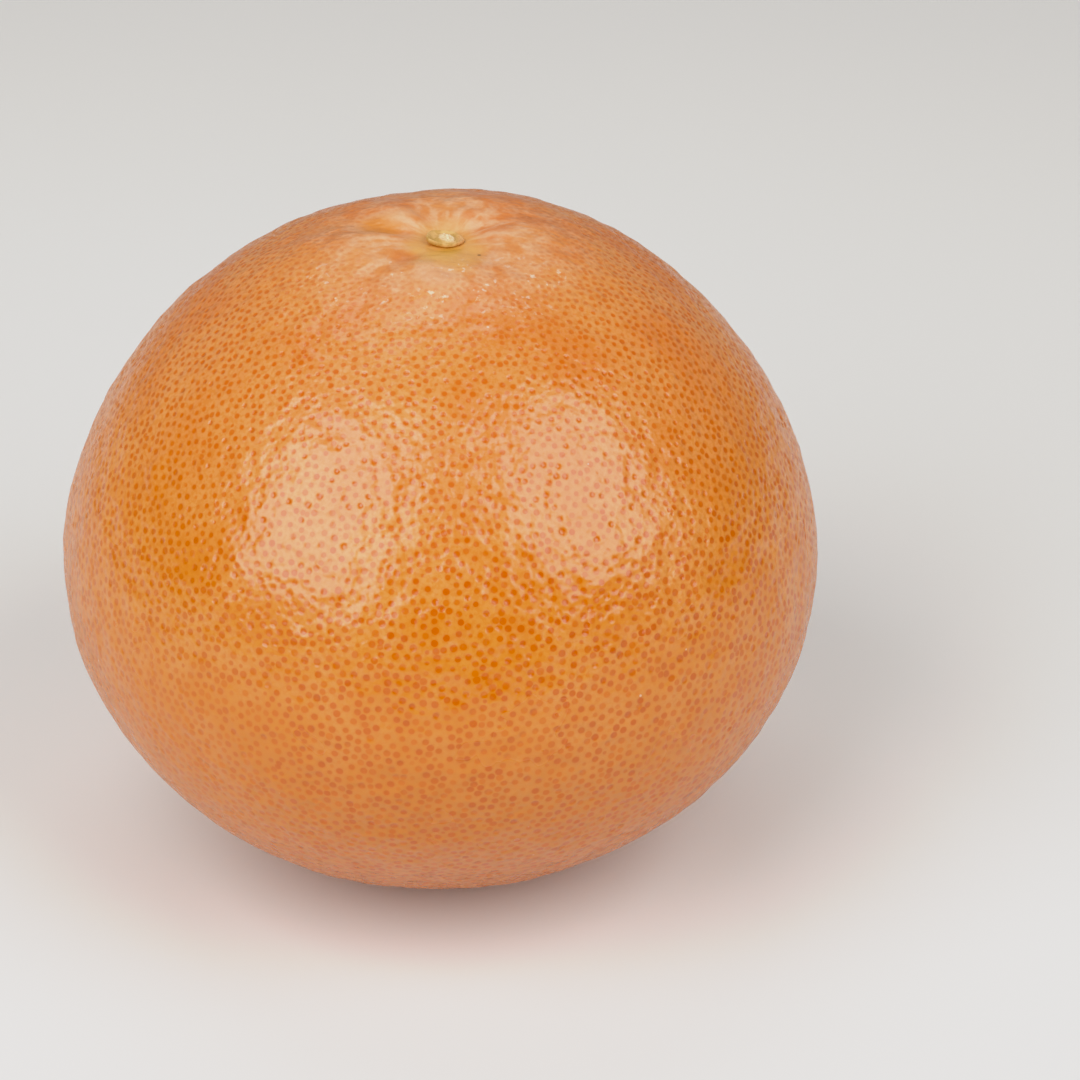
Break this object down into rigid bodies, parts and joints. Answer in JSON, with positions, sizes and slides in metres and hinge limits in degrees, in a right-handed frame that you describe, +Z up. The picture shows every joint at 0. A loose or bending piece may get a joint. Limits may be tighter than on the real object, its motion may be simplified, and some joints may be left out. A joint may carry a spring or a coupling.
{
  "type": "grapefruit",
  "caption": "Whole ripe grapefruit, as picked, with its dried stem button on; oblate, with a pitted orange rind, resting on the flat of its blossom end.",
  "frame": {"origin": "middle of the flat spot that the fruit rests on, at the blossom end, straight under the stem end", "axes": "+Z up along the fruit's axis, from the blossom end to the stem end; +X to the right of a viewer who looks along +Y, as the picture does"},
  "size_m": [0.1124, 0.1112, 0.1013],
  "materials": {
    "rind": "satin",
    "calyx": "matte"
  },
  "bodies": {
    "root": {"fruit": "rind", "stem_button": "calyx"}
  },
  "joints": []
}
